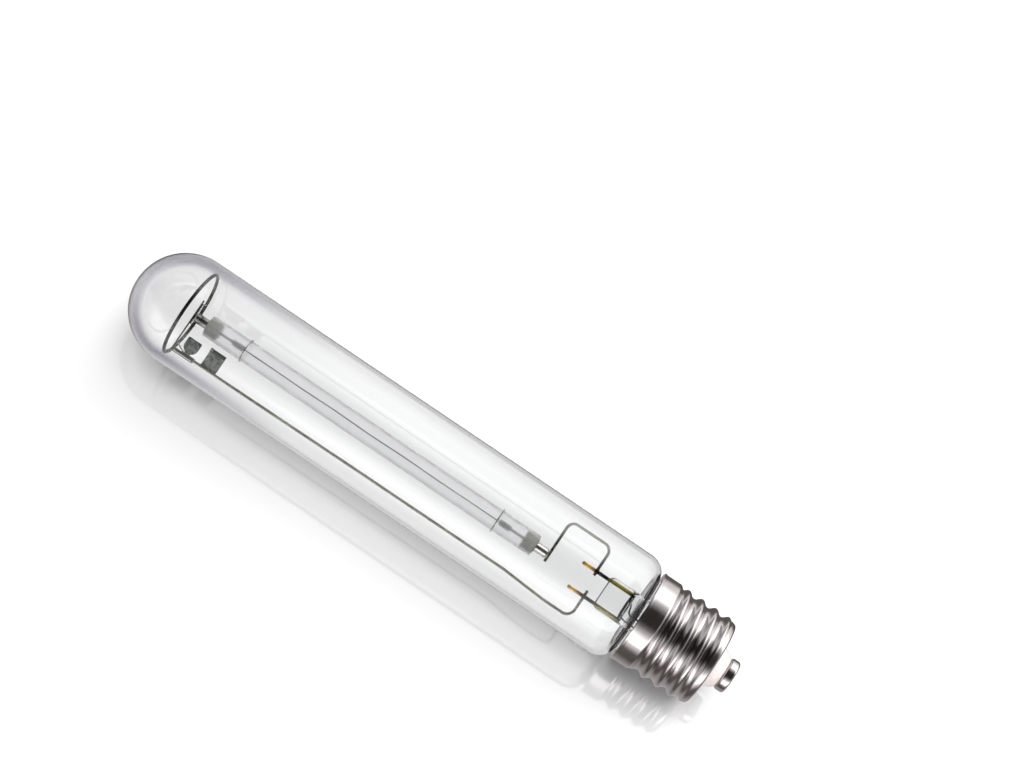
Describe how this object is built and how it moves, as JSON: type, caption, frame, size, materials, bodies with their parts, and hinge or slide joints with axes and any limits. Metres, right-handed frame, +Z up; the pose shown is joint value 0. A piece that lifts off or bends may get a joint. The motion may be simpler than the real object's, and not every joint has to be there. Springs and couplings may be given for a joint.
{
  "type": "grow lamp",
  "caption": "Clear tubular high-pressure sodium grow lamp with a ceramic arc tube on a wire frame, a spring ring in its round dome and an E40 screw cap.",
  "frame": {"origin": "centre of the cap's centre contact, on its end face", "axes": "+X along the lamp from the dome to the cap, +Z up with the lamp lying on its side, +Y to the left when looking along +X"},
  "size_m": [0.285, 0.046, 0.046],
  "materials": {
    "hard_glass": "clear polished borosilicate glass",
    "plated_brass": "bright nickel plate on pressed brass",
    "steatite": "pale pinkish unglazed ceramic",
    "solder": "dressed soft solder",
    "cement": "matt lamp basing cement",
    "alumina": "translucent sintered alumina",
    "plug_alumina": "darkened alumina plug",
    "frit": "glassy sealing frit",
    "niobium": "bright niobium tube",
    "tungsten": "dark tungsten wire",
    "nickel_wire": "drawn nickel-plated wire, grey-olive",
    "lead_rod": "rod heat-tinted straw to brown",
    "steel_strip": "bright folded strip",
    "getter": "dark grey-green pressed powder",
    "amalgam": "liquid-bright bead"
  },
  "bodies": {
    "root": {"outer_bulb": "hard_glass", "cap_shell": "plated_brass", "cap_insulator": "steatite", "centre_contact": "plated_brass", "contact_solder": "solder", "basing_cement": "cement", "stem": "hard_glass", "exhaust_tube": "hard_glass", "upper_lead_rod": "lead_rod", "lower_lead_rod": "lead_rod", "centre_contact_wire": "nickel_wire", "shell_wire": "nickel_wire", "frame_rod": "nickel_wire", "bridge_wire": "nickel_wire", "arc_tube": "alumina", "arc_tube_plug_dome": "plug_alumina", "arc_tube_plug_base": "plug_alumina", "frit_ring_dome": "frit", "frit_ring_base": "frit", "niobium_tube_dome": "niobium", "niobium_tube_base": "niobium", "electrode_rod_dome": "tungsten", "electrode_rod_base": "tungsten", "electrode_coil_dome": "tungsten", "electrode_coil_base": "tungsten", "amalgam_bead": "amalgam", "ignition_wire": "nickel_wire", "ignition_loop_dome": "nickel_wire", "ignition_loop_base": "nickel_wire", "dome_ring": "nickel_wire", "ring_bracket": "steel_strip", "niobium_strap": "steel_strip", "dome_support_wire": "nickel_wire", "getter_ring": "getter", "getter_ring_holder": "steel_strip", "getter_flag_holder": "steel_strip", "getter_flag_pellet": "getter", "getter_flag_stub": "nickel_wire"}
  },
  "joints": []
}
